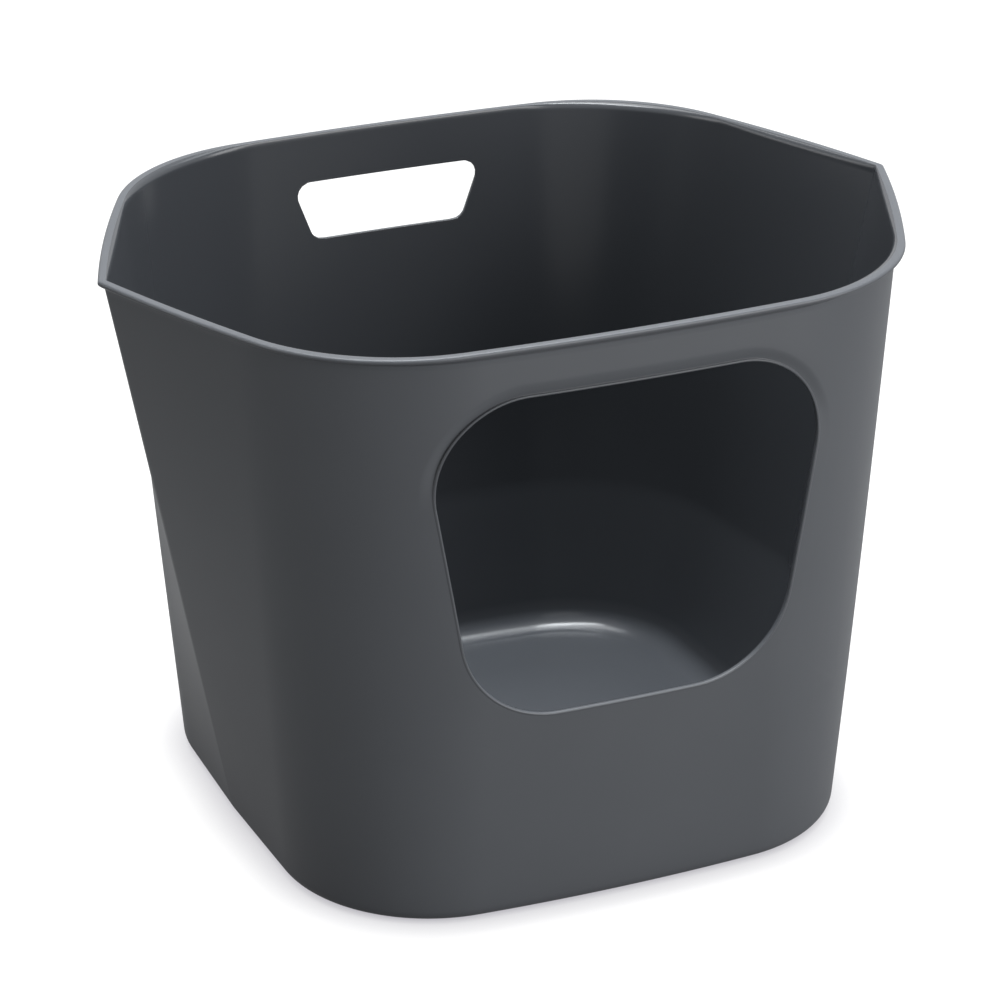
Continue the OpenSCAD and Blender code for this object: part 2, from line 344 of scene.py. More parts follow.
@dataclass(frozen=True)
class Opening:
    """Hole through an end wall: a trapezoid with round corners and a shaped edge."""

    end: End
    top_w: float
    bottom_w: float
    top_z: float
    bottom_z: float
    top_r: float
    bottom_r: float
    edge: EdgeProfile
    half_cells: int
    low_row: int
    high_row: int

    BLEND_STEPS = 6
    TRACE_STEPS = 120

    def trace(self) -> tuple[Array, Array]:
        """Closely spaced points of the edge, counter-clockwise in x and z, and their directions out.

        Each corner is an arc that touches its two sides: its centre lies on the line that halves
        the corner's angle, radius / sin(half the angle) from the corner.

        Returns:
            Points and unit directions, each of shape (points, 2).
        """
        corners = np.array(
            [
                [self.bottom_w / 2, self.bottom_z],
                [self.top_w / 2, self.top_z],
                [-self.top_w / 2, self.top_z],
                [-self.bottom_w / 2, self.bottom_z],
            ]
        )
        radii = np.array([self.bottom_r, self.top_r, self.top_r, self.bottom_r])
        back = np.roll(corners, 1, axis=0) - corners
        ahead = np.roll(corners, -1, axis=0) - corners
        back /= np.linalg.norm(back, axis=1, keepdims=True)
        ahead /= np.linalg.norm(ahead, axis=1, keepdims=True)
        half = np.arccos((back * ahead).sum(axis=1)) / 2
        middle = back + ahead
        middle /= np.linalg.norm(middle, axis=1, keepdims=True)
        centres = corners + middle * (radii / np.sin(half))[:, None]
        start = centres - corners - back * (radii / np.tan(half))[:, None]
        first = np.arctan2(-start[:, 1], -start[:, 0])
        angles = fan(column(first), column(first + np.pi - 2 * half), self.TRACE_STEPS)
        outward = np.stack([np.cos(angles), np.sin(angles)], axis=-1)
        arcs = centres[:, None, :] + radii[:, None, None] * outward
        share = np.linspace(0.0, 1.0, self.TRACE_STEPS + 1)[1:-1][None, :, None]
        lines = mix(arcs[:, -1:, :], np.roll(arcs, -1, axis=0)[:, :1, :], share)
        sides = np.repeat(outward[:, -1:, :], self.TRACE_STEPS - 1, axis=1)
        points = np.concatenate([arcs, lines], axis=1).reshape(-1, 2)
        normals = np.concatenate([outward, sides], axis=1).reshape(-1, 2)
        return points, normals

    def matched(self, frame_x: Array, frame_z: Array) -> tuple[Array, Array, Array, Array]:
        """Edge points that face the points of a rectangle round the opening.

        A ray from the opening's middle through a rectangle point meets the edge at the point
        that belongs to it.

        Args:
            frame_x: x of the rectangle's points.
            frame_z: z of the rectangle's points.

        Returns:
            x and z of the edge points, and x and z of their directions out.
        """
        points, normals = self.trace()
        middle_z = (self.top_z + self.bottom_z) / 2
        turn = np.arctan2(points[:, 1] - middle_z, points[:, 0])
        order = np.argsort(turn)
        wanted = np.arctan2(frame_z - middle_z, frame_x)
        found = [
            np.interp(wanted, turn[order], values[order], period=2 * np.pi)
            for values in (points[:, 0], points[:, 1], normals[:, 0], normals[:, 1])
        ]
        length = np.hypot(found[2], found[3])
        return found[0], found[1], found[2] / length, found[3] / length


# ---- the tub ----


@dataclass(frozen=True)
class Tub:
    """The moulded tub: sizes in metres, from its underside up."""

    box_low: Vector
    box_high: Vector
    base_w: float = 367 * MM
    base_d: float = 367.5 * MM
    base_corner_r: float = 97 * MM
    base_bow_r: float = 1250 * MM
    top_corner_r: float = 137 * MM
    top_bow_r: float = 1790 * MM
    wall: float = 2.3 * MM
    floor_t: float = 3.0 * MM
    floor_edge_r: float = 14 * MM
    floor_edge_in: float = 13.5 * MM
    base_edge_r: float = 8 * MM
    front_swell: float = 3.4 * MM
    ridge_angle_top: float = 22.8
    ridge_angle_base: float = 1.0
    ridge_forward: float = 3.9 * MM
    ridge_r_top: float = 5 * MM
    ridge_r_base: float = 24 * MM
    rim_out: float = 3.0 * MM
    rim_top_w: float = 4.7 * MM
    rim_h: float = 2.0 * MM
    rim_under_h: float = 4.2 * MM
    rim_inner_h: float = 4.6 * MM
    rim_edge_r: float = 1.7 * MM
    rim_corner_step: float = 16.7 * MM
    rim_side_bow_r: float = 1030 * MM
    rim_angle_step: float = 4.0
    straight_r: float = 20.0
    panel_w: float = 254 * MM
    panel_d: float = 230 * MM
    panel_corner_r: float = 48 * MM
    panel_slant: float = 1.5
    panel_rise: float = 0.5 * MM
    panel_slope_w: float = 2.4 * MM
    entry_low: float = 104 * MM
    entry_high: float = 356 * MM
    column_w: float = 152 * MM

    COLUMN_CELLS = 50
    PATCH_ROWS = 60
    LOW_ROWS = 14
    HIGH_ROWS = 3
    EDGE_STEPS = 12
    RIM_STEPS = 8
    CAP_RINGS = 3
    ROW_GAP = 1 * MM

    @property
    def height(self) -> float:
        """Height of the tub without its feet."""
        return self.box_high.z - self.box_low.z

    @property
    def wall_top(self) -> float:
        """Height at which the walls start to turn out to the rim."""
        return self.height - self.rim_h - self.rim_under_h

    def wall_outline(self, z: Array) -> Outline:
        """Outline of the walls' outer face at each height.

        Every size changes evenly with height. The ridge's angle does so by its tangent and the
        bow by its curvature. The front's swell is a parabola that is 0 at the base and at the top.
        """
        t = column(z) / self.height
        tan_base = math.tan(math.radians(self.ridge_angle_base))
        tan_top = math.tan(math.radians(self.ridge_angle_top))
        top_w = self.box_high.x - self.box_low.x - 2 * self.rim_tip
        top_d = self.box_high.y - self.box_low.y - 2 * self.rim_out
        return Outline(
            half_w=mix(self.base_w, top_w, t) / 2,
            half_d=mix(self.base_d, top_d, t) / 2,
            corner_r=mix(self.base_corner_r, self.top_corner_r, t),
            ridge_r=mix(self.ridge_r_base, self.ridge_r_top, t),
            slant=np.arctan(mix(tan_base, tan_top, t)),
            forward=self.ridge_forward * t,
            side_r=self.straight_r + 0 * t,
            bow_r=1 / mix(1 / self.base_bow_r, 1 / self.top_bow_r, t),
            front_swell=self.front_swell * 4 * t * (1 - t),
        )

    @property
    def rim_tip(self) -> float:
        """How far the rim's rounded ridge stands out from the point where the walls' faces meet."""
        slant = math.radians(self.ridge_angle_top - self.rim_angle_step)
        return self.rim_out - self.ridge_r_top * (1 / math.cos(slant) - 1)

    def rim_outline(self, levels: int) -> Outline:
        """Outline of the rim's outer face, the same at each of its levels."""
        ones = np.ones((levels, 1))
        top_w = self.box_high.x - self.box_low.x - 2 * self.rim_tip
        return Outline(
            half_w=(top_w / 2 + self.rim_out) * ones,
            half_d=(self.box_high.y - self.box_low.y) / 2 * ones,
            corner_r=(self.top_corner_r - self.rim_corner_step) * ones,
            ridge_r=self.ridge_r_top * ones,
            slant=math.radians(self.ridge_angle_top - self.rim_angle_step) * ones,
            forward=self.ridge_forward * ones,
            side_r=self.rim_side_bow_r * ones,
            bow_r=self.top_bow_r * ones,
            front_swell=0 * ones,
        )

    def panel_outline(self, levels: int) -> Outline:
        """Outline of the floor's raised panel."""
        ones = np.ones((levels, 1))
        return Outline(
            half_w=self.panel_w / 2 * ones,
            half_d=self.panel_d / 2 * ones,
            corner_r=self.panel_corner_r * ones,
            ridge_r=self.panel_corner_r * ones,
            slant=math.radians(self.panel_slant) * ones,
            forward=0 * ones,
            side_r=self.straight_r * ones,
            bow_r=self.straight_r * ones,
            front_swell=0 * ones,
        )

    def columns(self, levels: int, width: float) -> Array:
        """Places across the end walls, from width in to the middle, the same at each level."""
        return np.tile(np.linspace(width, 0.0, self.COLUMN_CELLS + 1), (levels, 1))

    def walls(self, z: Array, grow: Array | float) -> Array:
        """Rings of the walls at heights z, moved outwards by grow."""
        z = np.atleast_1d(z)
        return self.wall_outline(z).rings(z, column(grow + 0 * z), self.columns(len(z), self.column_w))

    def rims(self, z: Array, grow: Array | float) -> Array:
        """Rings of the rim at heights z, moved outwards by grow."""
        z = np.atleast_1d(z)
        return self.rim_outline(len(z)).rings(z, column(grow + 0 * z), self.columns(len(z), self.column_w))

    def panels(self, z: Array, grow: Array | float) -> Array:
        """Rings of the floor's panel at heights z, moved outwards by grow."""
        z = np.atleast_1d(z)
        width = self.column_w * self.panel_w / self.base_w
        return self.panel_outline(len(z)).rings(z, column(grow + 0 * z), self.columns(len(z), width))

    def rows(self) -> Array:
        """Heights of the walls' rows. The patches' rows lie between entry_low and entry_high."""
        low = np.linspace(self.base_edge_r, self.entry_low, self.LOW_ROWS + 1)[:-1]
        patch = np.linspace(self.entry_low, self.entry_high, self.PATCH_ROWS + 1)
        high = np.linspace(self.entry_high, self.wall_top, self.HIGH_ROWS + 1)[1:]
        return np.concatenate([low, patch, high])

    def thicker(self, z: Array | float) -> Array:
        """How much thicker the walls are at z: evenly more on the way down from the lowest patch row."""
        return self.floor_edge_in * np.maximum(1.0 - z / self.entry_low, 0.0)

    def cap(self, ring: Array) -> Array:
        """Ever smaller copies of a level ring, which fill it towards its middle."""
        shrink = np.linspace(0.0, 1.0, self.CAP_RINGS + 1)[1:]
        return ring[None, :, :] * np.stack([shrink, shrink, np.ones_like(shrink)], axis=-1)[:, None, :]

    def loft(self) -> tuple[Array, Array, int, int]:
        """Rings from the middle of the underside to the middle of the floor.

        The base's edge is a quarter circle, and the floor's edge is an arc that meets the thicker
        foot of the wall without a bend. Under the rim the walls turn out along half a cosine wave,
        and inside the rim they come in along a quarter of an ellipse.

        Returns:
            The rings, how far inside each one is, and the ring numbers of the lowest outer and
            the highest inner row of the walls.
        """
        quarter = np.linspace(0.0, np.pi / 2, self.EDGE_STEPS + 1)
        under = self.cap(self.panels(self.panel_rise, 0.0)[0])
        panel = self.panels(np.array([0.0]), self.panel_slope_w)
        edge_grow = self.base_edge_r * (np.sin(quarter) - 1)
        base = self.walls(self.base_edge_r * (1 - np.cos(quarter)), edge_grow)[:-1]
        rows = self.rows()
        outer = self.walls(rows, 0.0)
        wave = np.linspace(0.0, 1.0, self.RIM_STEPS + 2)[1:]
        turn_z = mix(self.wall_top, self.wall_top + self.rim_under_h, wave)
        turn_out = column((1 - np.cos(np.pi * wave)) / 2)[:, :, None]
        under_rim = mix(self.walls(turn_z, 0.0), self.rims(turn_z, 0.0), turn_out)
        bend = np.linspace(0.0, np.pi / 2, self.RIM_STEPS + 1)
        rim = self.rims(
            self.height - self.rim_edge_r * (1 - np.sin(bend)), -self.rim_edge_r * (1 - np.cos(bend))
        )
        inside_z = self.height - self.rim_inner_h
        lip = self.rims(np.array([self.height]), -self.rim_top_w)
        low = self.walls(np.array([inside_z]), -self.wall)
        share = column(np.sin(bend))[1:, :, None]
        inner_rim = mix(lip, low, share)
        inner_rim[:, :, 2] = self.height - self.rim_inner_h * (1 - np.cos(bend))[1:, None]
        floor_r = self.floor_edge_r
        lean = self.floor_edge_in / self.entry_low
        rise = np.linspace(0.0, np.pi / 2 - math.atan(lean), 2 * self.EDGE_STEPS + 1)
        fillet_z = self.floor_t + floor_r * (1 - np.cos(rise))
        down = rows[(rows > fillet_z[-1] + self.ROW_GAP) & (rows < inside_z)][::-1]
        inner = self.walls(down, -self.wall - self.thicker(down))
        fillet_grow = floor_r * (np.sin(rise) - np.sin(rise[-1])) - self.wall - self.thicker(fillet_z[-1])
        fillet = self.walls(fillet_z, fillet_grow)[::-1]
        floor = self.panels(np.array([self.floor_t]), self.panel_slope_w)
        top = self.cap(self.panels(self.floor_t + self.panel_rise, 0.0)[0])[::-1]
        outside = np.concatenate([under, panel, base, outer, under_rim, rim, lip])
        within = np.concatenate([inner_rim, inner, fillet, floor, top])
        inside = np.repeat([0.0, 1.0], [len(outside), len(within)])
        first_outer = len(under) + len(panel) + len(base)
        first_inner = len(outside) + len(inner_rim)
        return np.concatenate([outside, within]), inside, first_outer, first_inner

    def skin(self, openings: list[Opening]) -> Skin:
        """The whole tub as one closed skin.

        Args:
            openings: The openings, each in a rectangle of whole cells of its wall.

        Returns:
            The skin, its faces wound outwards.
        """
        rings, ring_inside, first_outer, first_inner = self.loft()
        levels, around, _ = rings.shape
        points = rings.reshape(-1, 3)
        inside = np.repeat(ring_inside, around)
        number = np.arange(levels * around).reshape(levels, around)
        ahead = np.roll(number, -1, axis=1)
        cells = np.stack([number[:-1], ahead[:-1], ahead[1:], number[1:]], axis=-1)
        kept = np.ones(cells.shape[:2], bool)
        rows = self.rows()
        inner_z = points[number[first_inner:, 0], 2]
        strips = []
        for opening in openings:
            low, high = self.LOW_ROWS + opening.low_row, self.LOW_ROWS + opening.high_row
            quarter = around // 4
            middle = quarter if opening.end is End.BACK else 3 * quarter
            across = np.arange(middle - opening.half_cells, middle + opening.half_cells + 1)
            outer_rows = first_outer + np.arange(low, high + 1)
            top_inner = first_inner + int(np.argmin(np.abs(inner_z - rows[high])))
            inner_rows = top_inner + np.arange(high - low, -1, -1)
            kept[outer_rows[0] : outer_rows[-1], across[0] : across[-1]] = False
            kept[inner_rows[-1] : inner_rows[0], across[0] : across[-1]] = False
            outer_loop = self.frame_loop(number, outer_rows, across)
            inner_loop = self.frame_loop(number, inner_rows, across)
            new_points, new_inside = self.edge_rings(opening, points[outer_loop])
            new_number = len(points) + np.arange(new_inside.size).reshape(new_inside.shape)
            points = np.vstack([points, new_points.reshape(-1, 3)])
            inside = np.concatenate([inside, new_inside.ravel()])
            loops = np.vstack([outer_loop[None], new_number, inner_loop[None]])
            strips += [loop_quads(loops[k], loops[k + 1]) for k in range(len(loops) - 1)]
        quads = np.concatenate([cells[kept]] + strips)
        poles = len(points) + np.array([0, 1])
        points = np.vstack([points, rings[0].mean(axis=0), rings[-1].mean(axis=0)])
        inside = np.concatenate([inside, [0.0, 1.0]])
        bottom = np.stack([ahead[0], number[0], np.full(around, poles[0])], axis=-1)
        top = np.stack([number[-1], ahead[-1], np.full(around, poles[1])], axis=-1)
        return Skin(points, quads, np.concatenate([bottom, top]), inside)

    def frame_loop(self, number: Array, rows: Array, across: Array) -> Array:
        """Numbers of the points round a rectangle of cells, counter-clockwise seen from outside."""
        return np.concatenate(
            [
                number[rows[0], across[:-1]],
                number[rows[:-1], across[-1]],
                number[rows[-1], across[:0:-1]],
                number[rows[:0:-1], across[0]],
            ]
        )

    def edge_rings(self, opening: Opening, border: Array) -> tuple[Array, Array]:
        """Rings of points from a rectangle in the outer wall, round the edge, to the inner wall.

        Near the edge a point is an edge point moved out along the edge's own direction by the
        section's distance. Further out the rings blend evenly into the rectangle.

        Args:
            opening: The opening.
            border: The points of the rectangle in the outer wall.

        Returns:
            Points of shape (rings, points round, 3), and how far inside each one is.
        """
        edge_x, edge_z, out_x, out_z = opening.matched(border[:, 0], border[:, 2])
        d, h, within = opening.edge.section(self.wall, out_z)
        blend = np.linspace(0.0, 1.0, opening.BLEND_STEPS + 2)[1:-1, None]
        near_x, near_z = edge_x + out_x * d, edge_z + out_z * d
        from_x, from_z = mix(border[:, 0], near_x[:1], blend), mix(border[:, 2], near_z[:1], blend)
        to_x, to_z = mix(near_x[-1:], border[:, 0], blend), mix(near_z[-1:], border[:, 2], blend)
        x = np.vstack([from_x, near_x, to_x])
        z = np.vstack([from_z, near_z, to_z])
        grow = np.vstack([0 * from_x, h, 0 * to_x - self.wall])
        inside = np.vstack([0 * from_x, within + 0 * near_x, 0 * to_x + 1.0])
        outline = self.wall_outline(z.ravel())
        depth = outline.depth(column(x.ravel()), column(grow.ravel()), opening.end).reshape(x.shape)
        return np.stack([x, opening.end.value * depth, z], axis=-1), inside

    def build(self, openings: list[Opening]) -> bpy.types.Object:
        """Makes the tub's object, standing on its feet."""
        skin = self.skin(openings)
        skin.points = skin.points + np.array([0.0, 0.0, self.box_low.z])
        return skin.to_object("moulded_tub")


# ---- the feet ----


@dataclass(frozen=True)
class Foot:
    """Round rubber foot, turned about its own upright axis."""

    name: str
    low: Vector
    high: Vector
    edge_r: float = 0.5 * MM
    groove_r: float = 5.2 * MM
    groove_w: float = 1.0 * MM
    groove_depth: float = 0.35 * MM

    AROUND = 72
    ARC_STEPS = 6

    def profile(self) -> Array:
        """Half section (radius, height) from the middle of the bottom to the middle of the top.

        The bottom has a shallow round groove, half a cosine wave deep on either side, and its
        rim is a quarter circle.

        Returns:
            Points of shape (points, 2), without the two middles.
        """
        radius = (self.high.x - self.low.x) / 2
        wave = np.linspace(-1.0, 1.0, 2 * self.ARC_STEPS + 1)
        depth = self.groove_depth * (1 + np.cos(np.pi * wave)) / 2
        groove = np.stack([self.groove_r + self.groove_w * wave, depth], axis=-1)
        bend = np.linspace(0.0, np.pi / 2, self.ARC_STEPS + 1)
        rim = np.stack(
            [radius - self.edge_r * (1 - np.sin(bend)), self.edge_r * (1 - np.cos(bend))], axis=-1
        )
        height = self.high.z - self.low.z
        top = np.array([[radius, height - self.edge_r / 2], [radius - self.edge_r / 2, height]])
        return np.vstack([[[self.groove_r / 2, 0.0]], groove, rim, top, [[radius / 2, height]]])

    def build(self) -> bpy.types.Object:
        """Makes the foot's object: the half section turned in even steps.

        Returns:
            The new object.
        """
        profile = self.profile()
        angle = np.linspace(0.0, 2 * np.pi, self.AROUND, endpoint=False)[None, :]
        centre = (self.low + self.high) / 2
        x = centre.x + profile[:, :1] * np.cos(angle)
        y = centre.y + profile[:, :1] * np.sin(angle)
        z = self.low.z + profile[:, 1:] + 0 * angle
        rings = np.stack([x, y, z], axis=-1)
        poles = np.array([[centre.x, centre.y, self.low.z], [centre.x, centre.y, self.high.z]])
        points = np.vstack([rings.reshape(-1, 3), poles])
        number = np.arange(rings.shape[0] * self.AROUND).reshape(rings.shape[0], self.AROUND)
        ahead = np.roll(number, -1, axis=1)
        quads = np.stack([number[:-1], ahead[:-1], ahead[1:], number[1:]], axis=-1).reshape(-1, 4)
        pole = np.full(self.AROUND, number.size)
        triangles = np.concatenate(
            [
                np.stack([ahead[0], number[0], pole], axis=-1),
                np.stack([number[-1], ahead[-1], pole + 1], axis=-1),
            ]
        )
        return Skin(points, quads, triangles, np.zeros(len(points))).to_object(self.name)


# ---- finishes ----


class Nodes:
    """Short ways to add and join nodes in one node tree."""

    MIX_SHARE_LOW_HIGH = (0, 6, 7)
    MIX_COLOR = 2

    def __init__(self, tree: bpy.types.NodeTree) -> None:
        """Keeps the tree and clears it."""
        self.tree = tree
        tree.nodes.clear()

    def add(self, kind: str, settings: dict | None = None, **inputs: object) -> bpy.types.Node:
        """Adds a node.

        Args:
            kind: The node's type name.
            settings: Values of the node's own properties.
            **inputs: Values or output sockets for its inputs, by name with _ for a space.

        Returns:
            The new node.
        """
        node = self.tree.nodes.new(kind)
        for key, value in (settings or {}).items():
            setattr(node, key, value)
        for key, value in inputs.items():
            self.join(node, key.replace("_", " "), value)
        return node

    def join(self, node: bpy.types.Node, name: str | int, value: object) -> None:
        """Sets an input to a value or joins it to an output."""
        socket = node.inputs[name]
        if isinstance(value, bpy.types.NodeSocket):
            self.tree.links.new(value, socket)
        else:
            socket.default_value = value

    def math(self, operation: str, *numbers: object) -> bpy.types.NodeSocket:
        """Output of a sum, product or other operation on numbers."""
        node = self.add("ShaderNodeMath", {"operation": operation})
        for place, number in enumerate(numbers):
            self.join(node, place, number)
        return node.outputs[0]

    def mix(self, share: object, low: object, high: object) -> bpy.types.NodeSocket:
        """Output of a mix of two colours, a share of the way from low to high."""
        node = self.add("ShaderNodeMix", {"data_type": "RGBA"})
        for place, value in zip(self.MIX_SHARE_LOW_HIGH, (share, low, high)):
            self.join(node, place, value)
        return node.outputs[self.MIX_COLOR]

    def seen(self, glossy: float) -> bpy.types.NodeSocket:
        """Output that is 1 for camera and transmission rays, glossy for glossy rays, and else 0."""
        path = self.add("ShaderNodeLightPath").outputs
        gloss = self.math("MULTIPLY", path["Is Glossy Ray"], glossy)
        seen = self.math("MAXIMUM", path["Is Camera Ray"], gloss)
        return self.math("MAXIMUM", seen, path["Is Transmission Ray"])


def moulded_grain_group() -> bpy.types.NodeTree:
    """Group for the fine pebbled grain and the slow waviness of a moulded surface.

    Returns:
        The group: a height for bumps and a mask between 0 and 1 that changes slowly.
    """
    tree = bpy.data.node_groups.new("moulded_grain", "ShaderNodeTree")
    tree.interface.new_socket("Grain Size", in_out="INPUT", socket_type="NodeSocketFloat")
    tree.interface.new_socket("Wave Size", in_out="INPUT", socket_type="NodeSocketFloat")
    tree.interface.new_socket("Wave Share", in_out="INPUT", socket_type="NodeSocketFloat")
    tree.interface.new_socket("Height", in_out="OUTPUT", socket_type="NodeSocketFloat")
    tree.interface.new_socket("Patches", in_out="OUTPUT", socket_type="NodeSocketFloat")
    nodes = Nodes(tree)
    given = nodes.add("NodeGroupInput").outputs
    place = nodes.add("ShaderNodeTexCoord").outputs["Object"]
    grain_scale = nodes.math("DIVIDE", 1.0, given["Grain Size"])
    wave_scale = nodes.math("DIVIDE", 1.0, given["Wave Size"])
    grain = nodes.add("ShaderNodeTexNoise", Vector=place, Scale=grain_scale, Detail=2.0, Roughness=0.5)
    wave = nodes.add("ShaderNodeTexNoise", Vector=place, Scale=wave_scale, Detail=1.0, Roughness=0.4)
    waves = nodes.math("MULTIPLY", wave.outputs["Fac"], given["Wave Share"])
    height = nodes.math("ADD", grain.outputs["Fac"], waves)
    result = nodes.add("NodeGroupOutput")
    nodes.join(result, "Height", height)
    nodes.join(result, "Patches", wave.outputs["Fac"])
    return tree


@dataclass(frozen=True)
class Finish:
    """Moulded surface whose tone and roughness drift slowly between two values, with a fine grain."""

    name: str
    tone: tuple[float, float, float]
    tone_patch: tuple[float, float, float]
    rough: float
    rough_patch: float
    grain_size: float
    grain_height: float
    wave_size: float
    wave_share: float
    shine: float = 0.5
    ior: float = 1.5

    def material(self, grain: bpy.types.NodeTree) -> bpy.types.Material:
        """Makes the material.

        Args:
            grain: The moulded grain group.

        Returns:
            The new material.
        """
        made = bpy.data.materials.new(self.name)
        made.use_nodes = True
        nodes = Nodes(made.node_tree)
        texture = nodes.add(
            "ShaderNodeGroup",
            {"node_tree": grain},
            Grain_Size=self.grain_size,
            Wave_Size=self.wave_size,
            Wave_Share=self.wave_share,
        ).outputs
        drift = nodes.mix(texture["Patches"], (*self.tone, 1.0), (*self.tone_patch, 1.0))
        tone, rough = self.inwards(nodes, drift)
        bump = nodes.add("ShaderNodeBump", Height=texture["Height"], Distance=self.grain_height)
        shader = nodes.add(
            "ShaderNodeBsdfPrincipled",
            Base_Color=tone,
            Roughness=nodes.math("MULTIPLY_ADD", texture["Patches"], self.rough_patch, rough),
            Normal=bump.outputs["Normal"],
            IOR=self.ior,
            Specular_IOR_Level=self.shine,
        )
        nodes.add("ShaderNodeOutputMaterial", Surface=shader.outputs[0])
        return made

    def inwards(self, nodes: Nodes, drift: bpy.types.NodeSocket) -> tuple[object, object]:
        """Tone and roughness, which change no further towards the inside of the piece.

        Args:
            nodes: The material's nodes; not used here.
            drift: The drifting tone.

        Returns:
            The tone and the roughness.
        """
        return drift, self.rough


@dataclass(frozen=True)
class PlasticFinish(Finish):
    """Charcoal moulded plastic: satin outside, glossier inside, with painted shade that makes the inside
    walls darker above the floor.
    """

    name: str = "tub_plastic"
    tone: tuple[float, float, float] = (0.058, 0.062, 0.069)
    tone_patch: tuple[float, float, float] = (0.062, 0.066, 0.0735)
    rough: float = 0.40
    rough_patch: float = 0.05
    grain_size: float = 0.9 * MM
    grain_height: float = 0.012 * MM
    wave_size: float = 60 * MM
    wave_share: float = 0.5
    shine: float = 0.32
    rough_inside: float = 0.20
    # painted shade: the darker tone of the inside walls, faded in between the two heights below
    inside_painted_shade_tone: tuple[float, float, float] = (0.034, 0.0365, 0.041)
    painted_shade_from: float = 8 * MM
    painted_shade_to: float = 24 * MM

    def inwards(self, nodes: Nodes, drift: bpy.types.NodeSocket) -> tuple[object, object]:
        """Tone and roughness: glossier inside the tub, with painted shade that darkens the inside walls
        above its floor.

        Args:
            nodes: The material's nodes.
            drift: The drifting tone.

        Returns:
            The tone and the roughness.
        """
        inside = nodes.add("ShaderNodeAttribute", {"attribute_name": "inside"}).outputs["Fac"]
        place = nodes.add("ShaderNodeTexCoord").outputs["Object"]
        height = nodes.add("ShaderNodeSeparateXYZ", Vector=place).outputs["Z"]
        above = nodes.add("ShaderNodeMapRange", Value=height, From_Min=self.painted_shade_from, From_Max=self.painted_shade_to)
        # painted shade: inside the tub and above the floor the tone turns darker, while the floor keeps the
        # outside's tone
        deep = nodes.math("MULTIPLY", inside, above.outputs["Result"])
        rough = nodes.math("MULTIPLY_ADD", inside, self.rough_inside - self.rough, self.rough)
        return nodes.mix(deep, drift, (*self.inside_painted_shade_tone, 1.0)), rough


@dataclass(frozen=True)
class RubberFinish(Finish):
    """Soft matt black rubber."""

    name: str = "foot_rubber"
    tone: tuple[float, float, float] = (0.011, 0.011, 0.012)
    tone_patch: tuple[float, float, float] = (0.016, 0.016, 0.017)
    rough: float = 0.62
    rough_patch: float = 0.12
    grain_size: float = 0.5 * MM
    grain_height: float = 0.02 * MM
    wave_size: float = 4 * MM
    wave_share: float = 0.3


# ---- the studio ----


@dataclass(frozen=True)
class Softbox:
    """Soft rectangular lamp that faces a point, placed by direction and distance from it."""

    name: str
    turn: float
    rise: float
    distance: float
    width: float
    height: float
    radiance: float
    tint: tuple[float, float, float] = (1.0, 1.0, 1.0)
    aim: tuple[float, float, float] = (0.0, 0.0, 0.18)

    def build(self) -> bpy.types.Object:
        """Makes the lamp. Its power is radiance x pi x area.

        Returns:
            The new lamp object.
        """
        data = bpy.data.lights.new(self.name, "AREA")
        data.shape = "RECTANGLE"
        data.size = self.width
        data.size_y = self.height
        data.energy = self.radiance * math.pi * self.width * self.height
        data.color = self.tint
        lamp = bpy.data.objects.new(self.name, data)
        towards = direction(self.turn, self.rise)
        lamp.location = Vector(self.aim) + towards * self.distance
        lamp.rotation_euler = towards.to_track_quat("Z", "Y").to_euler()
        bpy.context.scene.collection.objects.link(lamp)
        return lamp


def direction(turn: float, rise: float) -> Vector:
    """Unit direction from the object: turn degrees from the front, rise degrees up."""
    a, e = math.radians(turn), math.radians(rise)
    return Vector((math.sin(a) * math.cos(e), -math.cos(a) * math.cos(e), math.sin(e)))


